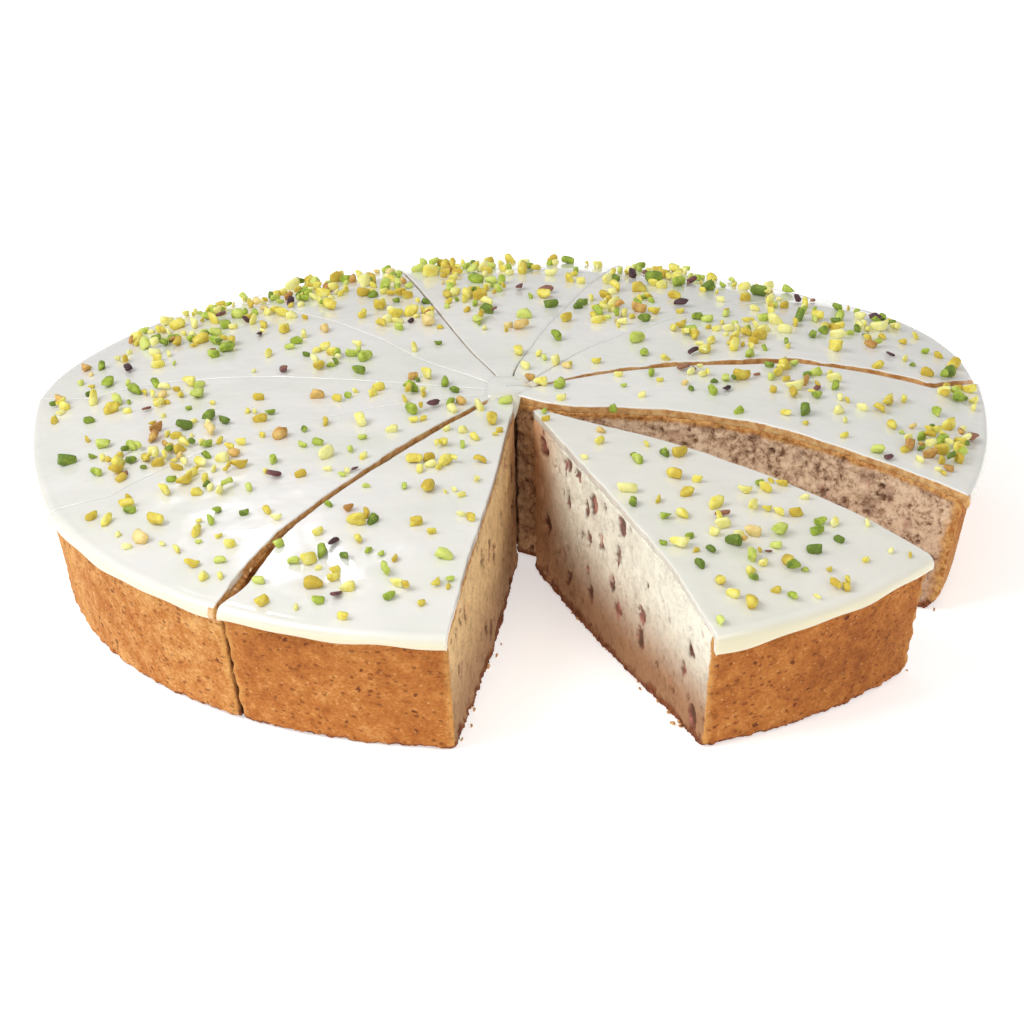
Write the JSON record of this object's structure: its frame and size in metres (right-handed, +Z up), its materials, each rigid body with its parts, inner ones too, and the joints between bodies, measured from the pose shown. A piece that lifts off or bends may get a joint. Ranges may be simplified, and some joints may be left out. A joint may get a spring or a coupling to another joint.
{
  "type": "banana cake",
  "caption": "Round white-iced banana cake cut in portions, strewn with chopped green nuts, part of the round open and one slice drawn forward in the gap.",
  "frame": {"origin": "on the table, under the middle of the whole cake's box", "axes": "+Z up; -Y towards the open side and the drawn slice; +X to the right seen from there"},
  "size_m": [0.2808, 0.2784, 0.054],
  "materials": {
    "sponge": "baked sponge: golden brown crust outside, open cream to tan crumb on the cut faces",
    "icing": "smooth set white icing, glossy",
    "crumb": "open crumb of banana sponge, matte",
    "nut_green": "chopped green nut, matte",
    "nut_yellow": "chopped pale yellow nut, matte",
    "nut_tan": "chopped toasted nut, matte",
    "nut_dark": "dark nut skin, matte"
  },
  "bodies": {
    "root": {"sponge_1": "sponge", "sponge_2": "sponge", "sponge_3": "sponge", "sponge_4": "sponge", "sponge_5": "sponge", "sponge_6": "sponge", "sponge_7": "sponge", "sponge_8": "sponge", "sponge_9": "sponge", "sponge_pulled": "sponge", "icing_1": "icing", "icing_2": "icing", "icing_3": "icing", "icing_4": "icing", "icing_5": "icing", "icing_6": "icing", "icing_7": "icing", "icing_8": "icing", "icing_9": "icing", "icing_pulled": "icing"}
  },
  "joints": []
}
